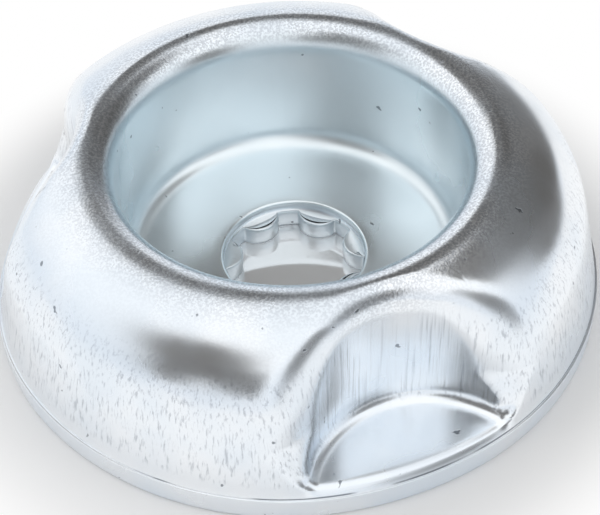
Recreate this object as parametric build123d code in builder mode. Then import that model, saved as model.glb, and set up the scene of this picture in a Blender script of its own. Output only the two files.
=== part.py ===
"""Flange washer: a pressed sheet-metal dome with three scalloped seats and a splined hub.

Millimetres. The axis is +Z, and Z = 0 is the plane that the open side rests on. The
sheet runs from the hub out along the well floor, up the well wall, over the lip, then
down the crown and the skirt to the rim. Each scallop dents the crown and skirt inwards,
down to a flat seat. All of it is one pressing, so it is one solid.
"""

from build123d import *
from math import cos, radians, tan
import os

os.makedirs("parts", exist_ok=True)

# Sheet and overall size
sheet = 2.0  # metal thickness
outer_diameter = 60.0  # over the rim
height = 17.7  # base plane to the crest of the lip

# Skirt and crown
rim_height = 2.4  # upright band at the foot of the skirt
rim_step = 0.2  # how far the band stands proud of the skirt
skirt_draft = 11.3  # lean of the skirt from upright, degrees
shoulder_radius = 9.7  # bend between skirt and crown, where the crown has room for it
crown_slope = 20.6  # fall of the crown outwards, degrees
lip_radius = 2.9  # bend between crown and well

# Well
well_diameter = 33.4  # inside the well
well_corner_radius = 2.0  # bend at the foot of the well
floor_height = 3.15  # base plane to the well floor

# Scallops
scallop_count = 3
scallop_angle = 50.7  # direction of the first scallop, degrees
scallop_radius = 11.0  # of the upright scallop wall
scallop_gap = 0.5  # between a scallop and the well wall, under the crown
seat_height = 3.3  # base plane to the flat seat
seat_corner_radius = 1.4  # bend between seat and scallop wall
scallop_edge_radius = 2.0  # bend from the scallop wall out to crown and skirt

# Hub: half-sheared out of the well floor until it is flush with the base plane
hub_diameter = 14.2
spline_count = 7
spline_angle = 94.5  # direction of the first groove, degrees
groove_diameter = 13.7  # circle through the groove floors
tooth_tip_diameter = 10.5  # circle through the tooth tips
tooth_nose_radius = 2.1

# Derived sizes
outer_radius = outer_diameter / 2
well_radius = well_diameter / 2
scallop_axis = well_radius + 2 * sheet + scallop_gap + scallop_radius
tooth_axis = tooth_tip_diameter / 2 + tooth_nose_radius
slope = tan(radians(crown_slope))
draft = tan(radians(skirt_draft))


def dome_corners(inset):
    """Return the sharp section corners over the well wall and over the skirt."""
    wall_x = well_radius + inset
    skirt_x = outer_radius - inset - rim_step
    # The crown runs tangent to the lip bend, and meets the skirt at the shoulder.
    crown_z = height - lip_radius + (well_radius + lip_radius) * slope
    crown_z += (lip_radius - inset) / cos(radians(crown_slope))
    shoulder_z = (crown_z - (skirt_x + rim_height * draft) * slope) / (1 - draft * slope)
    shoulder_x = skirt_x - (shoulder_z - rim_height) * draft
    return (wall_x, crown_z - wall_x * slope), (shoulder_x, shoulder_z)


# The lip bend takes its share of the crown, and the shoulder bend fits in the rest.
lip_corner, shoulder_corner = dome_corners(0)
crown_run = (shoulder_corner[0] - lip_corner[0]) / cos(radians(crown_slope))
crown_run -= lip_radius * tan(radians(90 + crown_slope) / 2)
shoulder_turn = radians(90 - crown_slope - skirt_draft)
shoulder_bend = min(shoulder_radius, 0.95 * crown_run / tan(shoulder_turn / 2))


def dome_form(inset):
    """Return the dome as if it were solid, with its faces moved inwards by inset."""
    lip_corner, shoulder_corner = dome_corners(inset)
    floor_z = floor_height - inset
    foot_x = outer_radius - inset

    with BuildPart() as scallops:
        with BuildSketch(Plane.XY.offset(seat_height - inset)):
            with PolarLocations(scallop_axis, scallop_count, start_angle=scallop_angle):
                Circle(scallop_radius + inset)
        extrude(amount=height)
        seat_edges = scallops.edges().group_by(Axis.Z)[0]
        fillet(seat_edges, seat_corner_radius + inset)

    with BuildPart() as form:
        with BuildSketch(Plane.XZ):
            with BuildLine():
                FilletPolyline(
                    (0, floor_z),
                    (well_radius + inset, floor_z),
                    lip_corner,
                    shoulder_corner,
                    (foot_x - rim_step, rim_height),
                    radius=[
                        well_corner_radius + inset,
                        lip_radius - inset,
                        shoulder_bend - inset,
                    ],
                )
                Polyline(
                    (foot_x - rim_step, rim_height),
                    (foot_x, rim_height),
                    (foot_x, 0),
                    (0, 0),
                    (0, floor_z),
                )
            make_face()
        revolve(axis=Axis.Z)
        add(scallops.part, mode=Mode.SUBTRACT)
    return form.part


# The outside of the pressing, with its scallop edges rounded over
with BuildPart() as outside:
    add(dome_form(0))
    scallop_edges = outside.edges().filter_by(GeomType.BSPLINE)
    fillet(scallop_edges, scallop_edge_radius)

# The hollow under the sheet, which surrounds the hub
with BuildPart() as hollow:
    add(dome_form(sheet))
    with BuildSketch():
        Circle(hub_diameter / 2)
    extrude(amount=height, mode=Mode.SUBTRACT)

with BuildPart() as flange_washer:
    add(outside.part)
    add(hollow.part, mode=Mode.SUBTRACT)
    # Pocket over the hub, as deep as the hub was pushed down
    with BuildSketch(Plane.XY.offset(sheet)):
        Circle(hub_diameter / 2)
    extrude(amount=height, mode=Mode.SUBTRACT)
    # Splined bore
    with BuildSketch():
        Circle(groove_diameter / 2)
        tooth_angle = spline_angle + 180 / spline_count
        with PolarLocations(tooth_axis, spline_count, start_angle=tooth_angle):
            Circle(tooth_nose_radius, mode=Mode.SUBTRACT)
    extrude(amount=sheet, mode=Mode.SUBTRACT)

flange_washer.part.label = "flange_washer"
export_step(flange_washer.part, "parts/flange_washer.step")
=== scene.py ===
"""A flange washer in bright zinc plate, standing in a plain studio.

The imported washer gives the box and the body. The pressing is modelled again here with its
soft bends, and repeats three times round the axis. Lengths are in metres.
"""

import math

import bpy
import numpy as np
from mathutils import Matrix, Vector


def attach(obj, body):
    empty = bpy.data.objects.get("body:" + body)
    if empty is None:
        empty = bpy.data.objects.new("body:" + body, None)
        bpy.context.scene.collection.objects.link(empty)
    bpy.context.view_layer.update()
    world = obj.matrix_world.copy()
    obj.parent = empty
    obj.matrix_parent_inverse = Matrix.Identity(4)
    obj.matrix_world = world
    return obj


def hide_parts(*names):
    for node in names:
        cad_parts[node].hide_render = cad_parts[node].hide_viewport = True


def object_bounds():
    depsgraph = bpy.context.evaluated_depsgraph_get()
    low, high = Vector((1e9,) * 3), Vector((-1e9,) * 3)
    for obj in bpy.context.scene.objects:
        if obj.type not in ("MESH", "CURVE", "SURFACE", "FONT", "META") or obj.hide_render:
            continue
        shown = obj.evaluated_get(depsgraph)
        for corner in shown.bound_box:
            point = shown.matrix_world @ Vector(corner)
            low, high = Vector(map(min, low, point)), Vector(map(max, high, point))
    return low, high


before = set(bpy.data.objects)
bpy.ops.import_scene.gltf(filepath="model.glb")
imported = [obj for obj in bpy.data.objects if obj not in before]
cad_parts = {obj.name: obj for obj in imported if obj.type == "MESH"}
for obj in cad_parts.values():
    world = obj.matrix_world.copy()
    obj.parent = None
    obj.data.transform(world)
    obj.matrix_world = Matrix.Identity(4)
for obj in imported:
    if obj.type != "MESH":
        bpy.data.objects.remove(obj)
CAD_LOW, CAD_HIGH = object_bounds()
NODE = "flange_washer"
MM = 0.001
BOX_ROOM = 0.001 * MM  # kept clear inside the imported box
RELIEF_DEPTH = 0.025 * MM
LENS = 94.8  # mm
CAMERA_HEIGHT = 45.74  # degrees above the floor
CAMERA_ROLL = -1.79  # degrees
CAMERA_REACH = 160.0 * MM
CAMERA_SHIFT = 0.51, 1.56  # mm to the right and up

bl_info = {
    "name": "Flange Washer",
    "version": (1, 0, 0),
    "blender": (4, 5, 0),
    "location": "View3D > Sidebar > Washer",
    "description": "Builds a pressed, zinc-plated flange washer and its studio",
    "category": "Add Mesh",
}


def length(name, description, default_mm):
    """A length property, given in millimetres and kept in metres."""
    return bpy.props.FloatProperty(
        name=name, description=description, default=default_mm * MM, unit="LENGTH", precision=5
    )


def turn(name, description, degrees):
    """An angle property, given in degrees."""
    return bpy.props.FloatProperty(
        name=name, description=description, default=math.radians(degrees), subtype="ANGLE"
    )


def share(name, description, default):
    """A plain factor property."""
    return bpy.props.FloatProperty(name=name, description=description, default=default)


def paint(name, description, default):
    """A colour property."""
    return bpy.props.FloatVectorProperty(
        name=name, description=description, default=default, size=3, subtype="COLOR", min=0, max=1
    )


class WasherShape(bpy.types.PropertyGroup):
    """Sizes of the pressing."""

    radius: bpy.props.FloatProperty(
        name="Radius", description="Over the rim", default=CAD_HIGH.x, unit="LENGTH"
    )
    height: bpy.props.FloatProperty(
        name="Height", description="Crest of the lip", default=CAD_HIGH.z, unit="LENGTH"
    )
    sheet: length("Sheet", "Metal thickness", 2.0)
    rim_height: length("Rim height", "Upright band at the foot of the skirt", 2.4)
    rim_step: length("Rim step", "How far the band stands proud of the skirt", 0.2)
    skirt_draft: turn("Skirt draft", "Lean of the skirt from upright", 11.3)
    shoulder: length("Shoulder", "Bend between skirt and crown", 9.7)
    crown_slope: turn("Crown slope", "Fall of the crown outwards", 20.6)
    lip: length("Lip", "Bend between crown and well", 2.9)
    well: length("Well", "Radius inside the well", 16.7)
    well_corner: length("Well corner", "Bend at the foot of the well", 2.0)
    floor: length("Floor", "Height of the well floor", 3.15)
    scallop_turn: turn("Scallop turn", "Direction of the first scallop", 50.7)
    scallop: length("Scallop", "Radius of the scallop wall", 11.0)
    scallop_gap: length("Scallop gap", "Between scallop and well wall, under the crown", 0.5)
    seat: length("Seat", "Height of the flat seat", 3.3)
    seat_corner: length("Seat corner", "Bend between seat and scallop wall", 1.4)
    edge: length("Scallop edge", "Bend between scallop wall and crown", 2.0)
    seat_edge: length("Seat edge", "Bend at the outer edge of the seat", 0.8)
    flank_edge: length("Flank edge", "Bend between scallop wall and skirt", 4.0)
    rim_pull: bpy.props.FloatVectorProperty(
        name="Rim pull",
        description="How far each scallop draws the rim inwards",
        default=(0.4 * MM, 1.0 * MM, 0.3 * MM),
        size=3,
        unit="LENGTH",
    )
    hub: length("Hub", "Radius of the pocket round the hub", 7.1)
    groove: length("Groove", "Radius to the groove floors", 6.85)
    tooth_tip: length("Tooth tip", "Radius to the tooth tips", 5.25)
    tooth_nose: length("Tooth nose", "Radius of each tooth's nose", 2.1)
    groove_turn: turn("Groove turn", "Direction of the first groove", 94.5)
    wave: length("Waviness", "Unevenness left by the press", 0.05)


class WasherFinish(bpy.types.PropertyGroup):
    """Colours and polish of the zinc plate, with its painted reflection in the well and its painted
    shade line at the rim step.
    """

    plate: paint("Plate", "The plate's main colour", (0.90, 0.93, 0.96))
    plate_cool: paint("Cool plate", "Where the plate turns bluer", (0.82, 0.88, 0.94))
    # Well: a painted reflection, the plate inside the well made lighter and bluer than elsewhere,
    # standing in for the bright surroundings it mirrors
    well: paint("Well", "The bluer plate inside the well", (0.86, 0.94, 0.975))
    hub: paint("Hub", "The sheared metal of the bore", (0.76, 0.85, 0.89))
    grain: paint("Grain", "Dark of the orange peel and draw lines", (0.30, 0.33, 0.38))
    # Pit: colour of the real pits and specks, and also of the painted shade line where the rim band
    # steps out of the skirt
    pit_and_rim_shade: paint("Pit", "Pits, specks and the scored rim line", (0.10, 0.12, 0.15))
    rough_low: share("Polish low", "Roughness where the plate is brightest", 0.16)
    rough_high: share("Polish high", "Roughness where the plate is dullest", 0.30)


SCALLOPS = 3
TEETH = 7


def rounded_line(corners, radii, steps):
    """A line of points through the corners, each inner corner rounded to its radius."""
    points = [np.array(corners[0], float)]
    for before, corner, after, radius, step in zip(corners, corners[1:], corners[2:], radii, steps):
        corner = np.array(corner, float)
        back = np.array(before, float) - corner
        on = np.array(after, float) - corner
        back /= np.linalg.norm(back)
        on /= np.linalg.norm(on)
        half = math.acos(np.clip(back @ on, -1, 1)) / 2
        middle = (back + on) / np.linalg.norm(back + on)
        centre = corner + middle * radius / math.sin(half)
        start = corner + back * radius / math.tan(half) - centre
        sweep = math.pi - 2 * half
        way = math.copysign(1, start[1] * back[0] - start[0] * back[1])
        for i in range(step + 1):
            a = way * sweep * i / step
            c, s = math.cos(a), math.sin(a)
            swung = [c * start[0] - s * start[1], s * start[0] + c * start[1]]
            points.append(centre + np.array(swung))
    points.append(np.array(corners[-1], float))
    return np.array(points)


def divided(line, longest):
    """The same line, with its long runs divided."""
    points = [line[:1]]
    for start, end in zip(line, line[1:]):
        count = max(1, math.ceil(np.linalg.norm(end - start) / longest))
        points.append(start + (end - start) * np.arange(1, count + 1)[:, None] / count)
    return np.concatenate(points)


def round_max(a, b, k):
    """The larger of two distances, with the corner between them rounded to radius k."""
    lift = np.hypot(np.maximum(a + k, 0), np.maximum(b + k, 0))
    return np.minimum(np.maximum(a, b), -k) + lift


def line_distance(r, z, line):
    """Signed distance from points to a line, positive on its left as it runs outwards."""
    start, run = line[:-1], np.diff(line, axis=0)
    size = (run**2).sum(1)
    dr = r[..., None] - start[:, 0]
    dz = z[..., None] - start[:, 1]
    t = np.clip((dr * run[:, 0] + dz * run[:, 1]) / size, 0, 1)
    gap_r = dr - t * run[:, 0]
    gap_z = dz - t * run[:, 1]
    far = gap_r**2 + gap_z**2
    near = far.argmin(-1)
    pick = np.take_along_axis
    side = run[:, 0] * gap_z - run[:, 1] * gap_r
    side = pick(side, near[..., None], -1)[..., 0]
    return np.sign(side) * np.sqrt(pick(far, near[..., None], -1)[..., 0])


class Skin:
    """One face of the pressing: inset is 0 on the outside, and the sheet on the inside."""

    def __init__(self, shape, inset):
        slope, draft = math.tan(shape.crown_slope), math.tan(shape.skirt_draft)
        self.shape, self.inset = shape, inset
        self.wall = shape.well + inset
        self.floor = shape.floor - inset
        self.foot = shape.radius - inset
        skirt = self.foot - shape.rim_step
        crown = shape.height - shape.lip + (shape.well + shape.lip) * slope
        crown += (shape.lip - inset) / math.cos(shape.crown_slope)
        apex_z = (crown - (skirt + shape.rim_height * draft) * slope) / (1 - draft * slope)
        apex_x = skirt - (apex_z - shape.rim_height) * draft
        mid = shape.radius - shape.sheet / 2
        line = rounded_line(
            [
                (shape.hub, shape.sheet - inset),
                (shape.hub, self.floor),
                (self.wall, self.floor),
                (self.wall, crown - self.wall * slope),
                (apex_x, apex_z),
                (skirt, shape.rim_height),
                (self.foot, shape.rim_height),
                (self.foot, 0),
                (mid, 0),
            ],
            [
                0.3 * MM,
                shape.well_corner + inset,
                shape.lip - inset,
                shape.shoulder - inset,
                0.05 * MM,
                0.05 * MM,
                0.35 * MM,
            ],
            [5, 10, 24, 48, 3, 3, 5],
        )
        crest = line[:, 1].argmax()
        self.line = line
        self.cup = divided(line[: crest + 1], 1.0 * MM)
        self.dome = line[crest:]
        run = np.hypot(*np.diff(self.dome, axis=0).T)
        self.path = np.concatenate([[0], np.cumsum(run)])
        self.seat = shape.seat - inset
        self.scallop = shape.scallop + inset
        self.scallop_axis = shape.well + 2 * shape.sheet + shape.scallop_gap + shape.scallop

    def wall_at(self, angle):
        """Radius of the scallop wall along a ray at an angle from the scallop, or a large one."""
        reach = self.scallop**2 - (self.scallop_axis * np.sin(angle)) ** 2
        near = self.scallop_axis * np.cos(angle) - np.sqrt(np.maximum(reach, 0))
        return np.where((reach > 0) & (np.abs(angle) < 1), near, 1.0)

    def column(self, angle, shares):
        """Points down the sharp-edged dome at one angle from the scallop, crest to seat edge."""
        r, z = self.dome.T
        seat_path = np.interp(-self.seat, -z, self.path)
        seat_r = np.interp(seat_path, self.path, r)
        wall_r = min(float(self.wall_at(angle)), seat_r)
        edge_path = min(np.interp(wall_r, r, self.path), seat_path)
        wall_foot = edge_path + np.interp(edge_path, self.path, z) - self.seat
        seat_edge = wall_foot + seat_r - wall_r
        shoulder = min(edge_path, 0.55 * seat_path)
        marks = [0, shoulder, min(wall_foot, seat_edge - 2.6 * MM), seat_edge]
        at = np.interp(shares, range(4), marks)
        on_wall = (at > edge_path) & (at <= wall_foot)
        on_seat = at > wall_foot
        column_r = np.where(on_wall, wall_r, np.interp(at, self.path, r))
        column_z = np.where(on_wall, self.seat + wall_foot - at, np.interp(at, self.path, z))
        column_r = np.where(on_seat, seat_r - (seat_edge - at), column_r)
        column_z = np.where(on_seat, self.seat, column_z)
        return np.stack([column_r, column_z], -1)

    def foot_line(self):
        """Points from the seat's outer edge down to the middle of the rim's underside."""
        low = self.dome[self.dome[:, 1] < self.seat]
        return divided(low, 0.6 * MM)

    def distance(self, points):
        """Signed distance of points from the rounded face, positive outside it."""
        x, y, z = np.moveaxis(points, -1, 0)
        dome = line_distance(np.hypot(x, y), z, self.line)
        to_axis = np.hypot(x - self.scallop_axis, y) - self.scallop
        cut = round_max(to_axis, self.seat - z, self.shape.seat_corner + self.inset)
        up = np.clip((z - self.seat - 0.3 * MM) / (4 * MM), 0, 1)
        out = np.clip((np.hypot(x, y) - 22.5 * MM) / (4 * MM), 0, 1)
        edge = self.shape.edge + (self.shape.flank_edge - self.shape.edge) * out
        edge = self.shape.seat_edge + (edge - self.shape.seat_edge) * up
        edge = np.maximum(edge - self.inset, 0.2 * MM)
        return round_max(dome, -cut, edge)

    def settle(self, points):
        """Move points of the sharp dome onto the rounded face."""
        eye = np.eye(3) * 0.01 * MM
        for _ in range(6):
            here = self.distance(points)
            grad = np.stack([self.distance(points + e) - here for e in eye], -1) / (0.01 * MM)
            size = np.maximum((grad**2).sum(-1), 0.2)
            points = points - (here / size)[..., None] * grad
        return points


COLUMNS = 140  # in each third: shared out so that thirds and sevenths meet point to point


def column_angles(skin):
    """Angles of one third's columns, close together where they cross the scallop's edges."""
    axis, radius = skin.scallop_axis, skin.scallop
    rim = skin.foot - skin.shape.rim_step
    tip = math.acos((rim**2 + axis**2 - radius**2) / (2 * rim * axis))
    wall_tip = math.asin(rim * math.sin(tip) / radius)
    round_wall = np.linspace(0, wall_tip, 29)
    wall = np.arctan2(radius * np.sin(round_wall), axis - radius * np.cos(round_wall))
    flank = np.linspace(wall[-1], math.radians(26), 21)[1:]
    lobe = np.linspace(flank[-1], math.pi / SCALLOPS, COLUMNS // 2 - 47)[1:]
    half = np.concatenate([wall, flank, lobe])
    return np.concatenate([-half[:0:-1], half])


def smooth_step(value, low, high):
    """Rise smoothly from 0 at low to 1 at high."""
    t = np.clip((value - low) / (high - low), 0, 1)
    return t * t * (3 - 2 * t)


def on_axis(radius, angle, height):
    """Points at a radius, an angle and a height from the axis."""
    radius, angle, height = np.broadcast_arrays(radius, angle, height)
    return np.stack([radius * np.cos(angle), radius * np.sin(angle), height], -1)


def grid_faces(columns, rows, closed):
    """Quads of a grid whose rows follow each other, and meet again if it is closed."""
    index = np.arange(columns * rows).reshape(columns, rows)
    onward = np.roll(index, -1, 1)
    quads = np.stack([index[:-1], index[1:], onward[1:], onward[:-1]], -1)
    return quads[:, : None if closed else -1].reshape(-1, 4)


def washer_third(shape):
    """Points and faces of the third round the first scallop, from hub pocket to boss."""
    skins = Skin(shape, 0), Skin(shape, shape.sheet)
    row_counts = (12, 28, 20), (8, 18, 12)
    turned = column_angles(skins[0])
    even = np.linspace(turned[0], turned[-1], len(turned))
    grids = []
    for skin, counts in zip(skins, row_counts):
        runs = [np.linspace(i, i + 1, n + 1)[1:] for i, n in enumerate(counts)]
        shares = np.concatenate([[0]] + runs)
        foot = skin.foot_line()
        line = np.stack(
            [np.concatenate([skin.cup[:-1], skin.column(angle, shares), foot]) for angle in turned]
        )
        spread = smooth_step(line[..., 0], 8 * MM, 15 * MM)
        angles = even[:, None] * (1 - spread) + turned[:, None] * spread
        points = on_axis(line[..., 0], angles, line[..., 1])
        lip = (skin.cup[:, 1] > shape.floor + 9 * MM).argmax()
        points[:, lip:] = skin.settle(points[:, lip:])
        grids.append(points)
    grid = np.concatenate([grids[0], grids[1][:, -2::-1]], 1)
    return grid, grid_faces(*grid.shape[:2], closed=False), even[0]


def bore_radius(shape, angle):
    """Radius of the splined bore at an angle from the first scallop."""
    pitch = 2 * math.pi / TEETH
    off = np.abs((shape.scallop_turn - shape.groove_turn + angle) % pitch - pitch / 2)
    axis = shape.tooth_tip + shape.tooth_nose
    reach = shape.tooth_nose**2 - (axis * np.sin(off)) ** 2
    tooth = axis * np.cos(off) - np.sqrt(np.maximum(reach, 0))
    return np.where(reach > 0, np.minimum(tooth, shape.groove), shape.groove)


def hub_seventh(shape, start):
    """Points and faces of one tooth's share of the hub, from boss to hub pocket."""
    angle = (start + np.linspace(0, 2 * math.pi / TEETH, COLUMNS * SCALLOPS // TEETH + 1))[:, None]
    bore = bore_radius(shape, angle)
    low = np.array([0.12, 0.10, 0.05, 0, 0, 0, 0.02, 0.07, 0.16, 0.3]) * MM
    level = np.array([0, 0.3, 0.6, 0.75, 1.2, 1.6, 1.8, 1.92, 1.98, 2.0]) / 2 * shape.sheet
    wall = on_axis(np.minimum(bore + low, shape.hub - 0.1 * MM), angle, level)
    across = np.array([1, 0.75, 0.5, 0.25])
    under = on_axis(shape.hub * across + (bore + low[0]) * (1 - across), angle, 0.0)
    inner = np.minimum(bore + low[-1], shape.hub - 0.1 * MM)
    top = on_axis(shape.hub * (1 - across[::-1]) + inner * across[::-1], angle, shape.sheet)
    top = np.concatenate([top[:, 1:], on_axis(shape.hub, angle, np.full(1, shape.sheet))], 1)
    grid = np.concatenate([under, wall, top], 1)
    return grid, grid_faces(*grid.shape[:2], closed=False)


def placed(name, grid, faces, angle, collection):
    """A mesh object from a grid of points, turned by an angle about the axis."""
    mesh = bpy.data.meshes.new(name)
    mesh.from_pydata(grid.reshape(-1, 3).tolist(), [], faces.tolist())
    mesh.transform(Matrix.Rotation(angle, 4, "Z"))
    made = bpy.data.objects.new(name, mesh)
    collection.objects.link(made)
    return made


def pull_rim(mesh, shape):
    """Draw the rim inwards below each scallop, as the press left it."""
    points = np.empty(len(mesh.vertices) * 3)
    mesh.vertices.foreach_get("co", points)
    points = points.reshape(-1, 3)
    size = np.hypot(points[:, 0], points[:, 1])
    angle = np.arctan2(points[:, 1], points[:, 0])
    low = smooth_step(size, 25 * MM, 29 * MM) * (1 - smooth_step(points[:, 2], 4 * MM, 9 * MM))
    for i, pull in enumerate(shape.rim_pull):
        off = angle - shape.scallop_turn - i * 2 * math.pi / SCALLOPS
        off = (off + math.pi) % (2 * math.pi) - math.pi
        points[:, :2] *= (1 - pull * low * np.exp(-((off / 0.36) ** 2)) / size)[:, None]
    size = np.maximum(np.hypot(points[:, 0], points[:, 1]), MM)
    reach = shape.radius - BOX_ROOM
    points[:, :2] *= np.minimum(1, reach / size)[:, None]
    points[:, 2] = np.clip(points[:, 2], BOX_ROOM, shape.height - BOX_ROOM)
    mesh.vertices.foreach_set("co", points.ravel())
    mesh.update()


def wired(tree, kind, inputs=(), **settings):
    """A node of a tree, with its settings made and its inputs set or linked."""
    made = tree.nodes.new(kind)
    for key, value in settings.items():
        setattr(made, key, value)
    for key, value in dict(inputs).items():
        if isinstance(value, bpy.types.NodeSocket):
            tree.links.new(value, made.inputs[key])
        else:
            made.inputs[key].default_value = value
    return made


def repeated(tree, sector, count):
    """Nodes that repeat a sector evenly round the axis."""
    points = wired(tree, "GeometryNodePoints", {"Count": count})
    index = wired(tree, "GeometryNodeInputIndex")
    step = wired(tree, "ShaderNodeMath", {0: 2 * math.pi, 1: count}, operation="DIVIDE")
    factors = {0: step.outputs[0], 1: index.outputs[0]}
    angle = wired(tree, "ShaderNodeMath", factors, operation="MULTIPLY")
    turned = wired(tree, "ShaderNodeCombineXYZ", {"Z": angle.outputs[0]})
    return wired(
        tree,
        "GeometryNodeInstanceOnPoints",
        {"Points": points.outputs[0], "Instance": sector, "Rotation": turned.outputs[0]},
    ).outputs[0]


def pressing_tree():
    """Geometry nodes that repeat the dome's third and the hub's sector, and weld them."""
    tree = bpy.data.node_groups.new("Pressing", "GeometryNodeTree")
    for name, kind in (
        ("Geometry", "Geometry"),
        ("Thirds", "Int"),
        ("Hub", "Object"),
        ("Teeth", "Int"),
        ("Weld", "Float"),
        ("Wave", "Float"),
        ("Wave Scale", "Float"),
        ("Material", "Material"),
    ):
        tree.interface.new_socket(name, in_out="INPUT", socket_type="NodeSocket" + kind)
    tree.interface.new_socket("Geometry", in_out="OUTPUT", socket_type="NodeSocketGeometry")
    given = wired(tree, "NodeGroupInput").outputs
    hub = wired(tree, "GeometryNodeObjectInfo", {"Object": given["Hub"]})
    dome = repeated(tree, given["Geometry"], given["Thirds"])
    teeth = repeated(tree, hub.outputs["Geometry"], given["Teeth"])
    joined = wired(tree, "GeometryNodeJoinGeometry", {"Geometry": dome})
    tree.links.new(teeth, joined.inputs["Geometry"])
    real = wired(tree, "GeometryNodeRealizeInstances", {"Geometry": joined.outputs[0]})
    seams = {"Geometry": real.outputs[0], "Distance": given["Weld"]}
    weld = wired(tree, "GeometryNodeMergeByDistance", seams)
    noise = wired(tree, "ShaderNodeTexNoise", {"Scale": given["Wave Scale"], "Detail": 1.0})
    level = wired(tree, "ShaderNodeMath", {0: noise.outputs[0], 1: 0.5}, operation="SUBTRACT")
    swell = {0: level.outputs[0], 1: given["Wave"]}
    height = wired(tree, "ShaderNodeMath", swell, operation="MULTIPLY")
    normal = wired(tree, "GeometryNodeInputNormal")
    along = {0: normal.outputs[0], "Scale": height.outputs[0]}
    shift = wired(tree, "ShaderNodeVectorMath", along, operation="SCALE")
    moved = wired(
        tree, "GeometryNodeSetPosition", {"Geometry": weld.outputs[0], "Offset": shift.outputs[0]}
    )
    smooth = wired(tree, "GeometryNodeSetShadeSmooth", {"Geometry": moved.outputs[0]})
    last = wired(
        tree,
        "GeometryNodeSetMaterial",
        {"Geometry": smooth.outputs[0], "Material": given["Material"]},
    )
    wired(tree, "NodeGroupOutput", {"Geometry": last.outputs[0]})
    return tree


def shown_through(piece, tree, values):
    """Run a piece through a geometry tree, and keep the result as its plain mesh."""
    modifier = piece.modifiers.new("Build", "NODES")
    modifier.node_group = tree
    for item in tree.interface.items_tree:
        if item.in_out == "INPUT" and item.name in values:
            modifier[item.identifier] = values[item.name]
    seen = piece.evaluated_get(bpy.context.evaluated_depsgraph_get())
    plain = bpy.data.meshes.new_from_object(seen)
    piece.modifiers.remove(modifier)
    piece.data = plain
    return piece


def streak_group():
    """Shader group: fine lines drawn down the metal, from 0 to 1."""
    tree = bpy.data.node_groups.new("DrawLines", "ShaderNodeTree")
    tree.interface.new_socket("Fineness", in_out="INPUT", socket_type="NodeSocketFloat")
    tree.interface.new_socket("Lines", in_out="OUTPUT", socket_type="NodeSocketFloat")
    given = wired(tree, "NodeGroupInput").outputs
    place = wired(tree, "ShaderNodeTexCoord").outputs["Object"]
    long = wired(tree, "ShaderNodeMapping", {"Vector": place, "Scale": (1, 1, 0.03)})
    noise = wired(
        tree,
        "ShaderNodeTexNoise",
        {"Vector": long.outputs[0], "Scale": given["Fineness"], "Detail": 3.0, "Roughness": 0.6},
    )
    wired(tree, "NodeGroupOutput", {"Lines": noise.outputs[0]})
    return tree


def between(tree, value, low, high, first=0.0, last=1.0):
    """Remap a value smoothly from one range to another."""
    return wired(
        tree,
        "ShaderNodeMapRange",
        {0: value, 1: low, 2: high, 3: first, 4: last},
        interpolation_type="SMOOTHSTEP",
    ).outputs[0]


def sum_of(tree, operation, first, second):
    """One step of arithmetic."""
    return wired(tree, "ShaderNodeMath", {0: first, 1: second}, operation=operation).outputs[0]


def mixed(tree, share_by, first, second):
    """A colour between two, by a share."""
    node = wired(tree, "ShaderNodeMix", {0: share_by}, data_type="RGBA")
    for socket, value in ((node.inputs[6], first), (node.inputs[7], second)):
        if isinstance(value, bpy.types.NodeSocket):
            tree.links.new(value, socket)
        else:
            socket.default_value = (*value, 1)
    return node.outputs[2]


def noise_of(tree, place, scale, detail=2.0, roughness=0.5):
    """A noise value over the surface."""
    inputs = {"Vector": place, "Scale": scale, "Detail": detail, "Roughness": roughness}
    return wired(tree, "ShaderNodeTexNoise", inputs).outputs[0]


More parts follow.
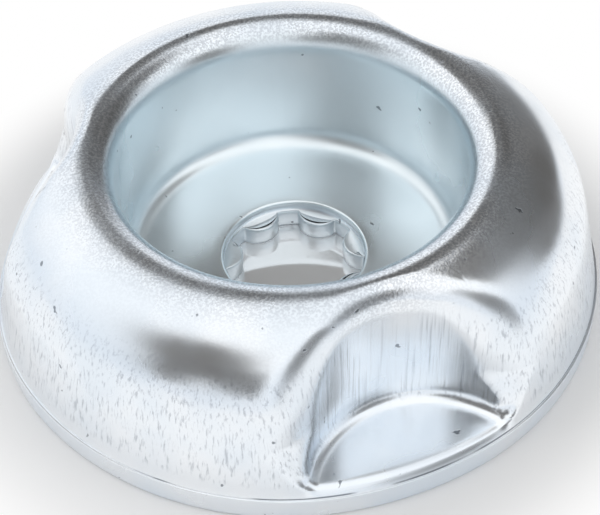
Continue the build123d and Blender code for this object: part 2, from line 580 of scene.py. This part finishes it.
def zinc_plate(finish):
    """Bright zinc plate: a painted reflection makes the well lighter and bluer, the bends are
    grained, the walls lined, and a painted shade line runs round the rim step.
    """
    material = bpy.data.materials.new("zinc_plate")
    material.use_nodes = True
    tree = material.node_tree
    bsdf = tree.nodes["Principled BSDF"]
    place = wired(tree, "ShaderNodeTexCoord").outputs["Object"]
    axes = wired(tree, "ShaderNodeSeparateXYZ", {0: place}).outputs
    flat = wired(tree, "ShaderNodeCombineXYZ", {"X": axes[0], "Y": axes[1]}).outputs[0]
    radius = wired(tree, "ShaderNodeVectorMath", {0: flat}, operation="LENGTH").outputs["Value"]

    # Mask of the well's painted reflection: inside the well wall and above its floor
    inside = between(tree, radius, 16.5 * MM, 18.2 * MM, 1, 0)
    above = between(tree, axes[2], 2.3 * MM, 3.0 * MM)
    well = sum_of(tree, "MULTIPLY", inside, above)
    hub = between(tree, radius, 6.9 * MM, 7.2 * MM, 1, 0)
    low = between(tree, axes[2], 2.4 * MM, 2.9 * MM, 1, 0)
    out = between(tree, radius, 27.5 * MM, 28.5 * MM)
    rim = sum_of(tree, "MULTIPLY", low, out)
    lip = sum_of(
        tree,
        "MULTIPLY",
        between(tree, radius, 16.7 * MM, 17.6 * MM),
        between(tree, radius, 19.5 * MM, 23.5 * MM, 1, 0.15),
    )
    lip = sum_of(tree, "MULTIPLY", lip, between(tree, axes[2], 13.5 * MM, 16 * MM))
    flank = sum_of(
        tree,
        "MULTIPLY",
        between(tree, radius, 20.5 * MM, 22 * MM),
        between(tree, axes[2], 12.5 * MM, 15.5 * MM, 1, 0),
    )
    flank = sum_of(tree, "MULTIPLY", flank, between(tree, axes[2], 3.4 * MM, 4.2 * MM))

    lines = wired(tree, "ShaderNodeGroup", {}, node_tree=streak_group())
    lines.inputs["Fineness"].default_value = 3600.0
    cloud = noise_of(tree, place, 90.0, 3.0)
    grain = noise_of(tree, place, 4200.0, 3.0, 0.6)
    speck = noise_of(tree, place, 700.0, 2.0, 0.6)
    pits = between(tree, speck, 0.72, 0.75)
    scratch = between(tree, lines.outputs[0], 0.50, 0.72)

    tint = mixed(tree, between(tree, cloud, 0.35, 0.65), finish.plate, finish.plate_cool)
    # Painted reflection: the lighter, bluer tint in the well
    tint = mixed(tree, sum_of(tree, "MULTIPLY", well, 0.85), tint, finish.well)
    tint = mixed(tree, sum_of(tree, "MULTIPLY", hub, 0.5), tint, finish.hub)
    grains = sum_of(tree, "MULTIPLY", between(tree, grain, 0.42, 0.60, 1, 0), lip)
    tint = mixed(tree, sum_of(tree, "MULTIPLY", grains, 0.42), tint, finish.grain)
    tint = mixed(tree, sum_of(tree, "MULTIPLY", pits, 0.7), tint, finish.pit_and_rim_shade)
    lined = sum_of(tree, "MULTIPLY", scratch, flank)
    tint = mixed(tree, sum_of(tree, "MULTIPLY", lined, 0.5), tint, finish.grain)
    # Painted shade: a thin dark line round the rim step, 2.4 to 2.6 mm up, where that corner falls
    # in shade; a noise breaks it into patches
    rim_shade_line = sum_of(
        tree,
        "MULTIPLY",
        between(tree, axes[2], 2.40 * MM, 2.46 * MM),
        between(tree, axes[2], 2.52 * MM, 2.60 * MM, 1, 0),
    )
    patchy = between(tree, noise_of(tree, place, 110.0), 0.48, 0.56)
    rim_shade_line = sum_of(tree, "MULTIPLY", sum_of(tree, "MULTIPLY", rim_shade_line, out), patchy)
    tint = mixed(tree, sum_of(tree, "MULTIPLY", rim_shade_line, 0.8), tint, finish.pit_and_rim_shade)
    tree.links.new(tint, bsdf.inputs["Base Color"])
    bsdf.inputs["Metallic"].default_value = 1.0

    rough = between(tree, cloud, 0.3, 0.7, finish.rough_low, finish.rough_high)
    rough = sum_of(tree, "ADD", rough, sum_of(tree, "MULTIPLY", well, 0.08))
    rough = sum_of(tree, "ADD", rough, sum_of(tree, "MULTIPLY", hub, 0.2))
    rough = sum_of(tree, "ADD", rough, sum_of(tree, "MULTIPLY", rim, 0.1))
    tree.links.new(rough, bsdf.inputs["Roughness"])

    relief = sum_of(tree, "MULTIPLY", grain, between(tree, lip, 0, 1, 0.05, 1.0))
    relief = sum_of(tree, "ADD", relief, sum_of(tree, "MULTIPLY", lines.outputs[0], flank))
    relief = sum_of(tree, "SUBTRACT", relief, pits)
    depth = {"Height": relief, "Strength": 0.5, "Distance": RELIEF_DEPTH}
    bump = wired(tree, "ShaderNodeBump", depth)
    tree.links.new(bump.outputs[0], bsdf.inputs["Normal"])
    return material


class WASHER_OT_pressing(bpy.types.Operator):
    """Build the washer's pressing and its zinc plate"""

    bl_idname = "washer.pressing"
    bl_label = "Pressing"

    def execute(self, context):
        shape = context.scene.washer_shape
        collection = context.scene.collection
        grid, faces, start = washer_third(shape)
        piece = placed("washer_pressing", grid, faces, shape.scallop_turn, collection)
        hub = placed("hub_seventh", *hub_seventh(shape, start), shape.scallop_turn, collection)
        values = {
            "Thirds": SCALLOPS,
            "Hub": hub,
            "Teeth": TEETH,
            "Weld": 0.002 * MM,
            "Wave": shape.wave,
            "Wave Scale": 130.0,
            "Material": zinc_plate(context.scene.washer_finish),
        }
        shown_through(piece, pressing_tree(), values)
        bpy.data.objects.remove(hub)
        pull_rim(piece.data, shape)
        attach(piece, "root")
        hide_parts(NODE)
        return {"FINISHED"}


# Soft dark flags round the washer: a name, then azimuth, elevation and half width in degrees
FLAGS = (
    ("right", 52, 24, 23),
    ("right_near", 28, 22, 20),
    ("right_high", 24, 46, 17),
    ("behind", 76, 46, 19),
    ("far", 108, 56, 15),
    ("front_right", -44, 16, 17),
    ("front_left", -132, 42, 18),
    ("front_left_low", -136, 20, 9),
    ("front", -108, 27, 13),
)


def flat_card(name, place, aim, wide, tall, material):
    """A flat rectangle that faces along aim."""
    mesh = bpy.data.meshes.new(name)
    w, t = wide / 2, tall / 2
    mesh.from_pydata([(-w, -t, 0), (w, -t, 0), (w, t, 0), (-w, t, 0)], [], [(0, 1, 2, 3)])
    turned = Vector(aim).to_track_quat("Z", "Y").to_matrix().to_4x4()
    mesh.transform(Matrix.Translation(place) @ turned)
    mesh.materials.append(material)
    made = bpy.data.objects.new(name, mesh)
    bpy.context.scene.collection.objects.link(made)
    return made


def studio_floor():
    """White floor that keeps the shadow, and mirrors the hub a little under the bore."""
    material = bpy.data.materials.new("studio_floor")
    material.use_nodes = True
    tree = material.node_tree
    tree.nodes.clear()
    place = wired(tree, "ShaderNodeTexCoord").outputs["Object"]
    radius = wired(tree, "ShaderNodeVectorMath", {0: place}, operation="LENGTH").outputs["Value"]
    dull = wired(tree, "ShaderNodeBsdfDiffuse", {"Color": (0.93, 0.93, 0.93, 1)})
    gloss = wired(tree, "ShaderNodeBsdfGlossy", {"Color": (0.95, 0.96, 0.98, 1), "Roughness": 0.04})
    white = wired(tree, "ShaderNodeEmission", {"Color": (1, 1, 1, 1), "Strength": 1.0})
    under = between(tree, radius, 12 * MM, 16 * MM, 0.55, 0)
    near = wired(tree, "ShaderNodeMixShader", {0: under, 1: dull.outputs[0], 2: gloss.outputs[0]})
    far = between(tree, radius, 30 * MM, 42 * MM, 0, 1)
    seen = wired(tree, "ShaderNodeMixShader", {0: far, 1: near.outputs[0], 2: white.outputs[0]})
    wired(tree, "ShaderNodeOutputMaterial", {"Surface": seen.outputs[0]})
    return material


def studio_world():
    """A bright, even studio with soft dark flags for the plate to reflect."""
    world = bpy.data.worlds.new("studio")
    world.use_nodes = True
    tree = world.node_tree
    tree.nodes.clear()
    way = wired(tree, "ShaderNodeTexCoord").outputs["Generated"]
    axes = wired(tree, "ShaderNodeSeparateXYZ", {0: way}).outputs
    colour = mixed(tree, between(tree, axes[2], -0.1, 0.75), (0.84, 0.88, 0.93), (1.12, 1.12, 1.12))
    for _, azimuth, elevation, half in FLAGS:
        a, e = math.radians(azimuth), math.radians(elevation)
        aim = (math.cos(a) * math.cos(e), math.sin(a) * math.cos(e), math.sin(e))
        facing = wired(tree, "ShaderNodeVectorMath", {0: way, 1: aim}, operation="DOT_PRODUCT")
        edge = math.cos(math.radians(half + 3)), math.cos(math.radians(half - 3))
        flag = between(tree, facing.outputs["Value"], *edge)
        colour = mixed(tree, sum_of(tree, "MULTIPLY", flag, 0.93), colour, (0.12, 0.115, 0.11))
    path = wired(tree, "ShaderNodeLightPath").outputs
    colour = mixed(tree, path["Is Camera Ray"], colour, (1, 1, 1))
    back = wired(tree, "ShaderNodeBackground", {"Color": colour, "Strength": 1.0})
    wired(tree, "ShaderNodeOutputWorld", {"Surface": back.outputs[0]})
    return world


def camera_place():
    """Where the camera stands: in front, above, and tipped a little to one side."""
    height, roll = math.radians(CAMERA_HEIGHT), math.radians(CAMERA_ROLL)
    look = Vector((0, math.cos(height), -math.sin(height)))
    level_up = Vector((0, math.sin(height), math.cos(height)))
    level_right = Vector((1, 0, 0))
    c, s = math.cos(roll), math.sin(roll)
    right = c * level_right + s * level_up
    up = c * level_up - s * level_right
    across, rise = CAMERA_SHIFT
    place = (across * right + rise * up) * MM - CAMERA_REACH * look
    return Matrix.Translation(place) @ Matrix((right, up, -look)).transposed().to_4x4()


class WASHER_OT_studio(bpy.types.Operator):
    """Set up the floor, the world and the camera"""

    bl_idname = "washer.studio"
    bl_label = "Studio"

    def execute(self, context):
        scene = context.scene
        scene.view_settings.view_transform = "Standard"
        scene.world = studio_world()
        floor = flat_card("floor", (0, 0, -0.02 * MM), (0, 0, 1), 2.0, 2.0, studio_floor())
        cam = bpy.data.cameras.new("camera")
        cam.lens = LENS
        cam.clip_start = 0.01
        eye = bpy.data.objects.new("camera", cam)
        scene.collection.objects.link(eye)
        eye.matrix_world = camera_place()
        scene.camera = eye
        return {"FINISHED"}


class WASHER_PT_build(bpy.types.Panel):
    """The washer's operators and sizes, in the sidebar"""

    bl_label = "Flange Washer"
    bl_idname = "WASHER_PT_build"
    bl_space_type = "VIEW_3D"
    bl_region_type = "UI"
    bl_category = "Washer"

    def draw(self, context):
        layout = self.layout
        layout.operator(WASHER_OT_pressing.bl_idname)
        layout.operator(WASHER_OT_studio.bl_idname)
        for group in (context.scene.washer_shape, context.scene.washer_finish):
            column = layout.column(align=True)
            for name in group.__annotations__:
                column.prop(group, name)


CLASSES = (WasherShape, WasherFinish, WASHER_OT_pressing, WASHER_OT_studio, WASHER_PT_build)


def register():
    """Add the classes and the scene's settings."""
    for cls in CLASSES:
        bpy.utils.register_class(cls)
    bpy.types.Scene.washer_shape = bpy.props.PointerProperty(type=WasherShape)
    bpy.types.Scene.washer_finish = bpy.props.PointerProperty(type=WasherFinish)


def unregister():
    """Take the settings and the classes away again."""
    del bpy.types.Scene.washer_finish
    del bpy.types.Scene.washer_shape
    for cls in reversed(CLASSES):
        bpy.utils.unregister_class(cls)


def main():
    register()
    bpy.ops.washer.pressing()
    bpy.ops.washer.studio()


if __name__ == "__main__":
    main()
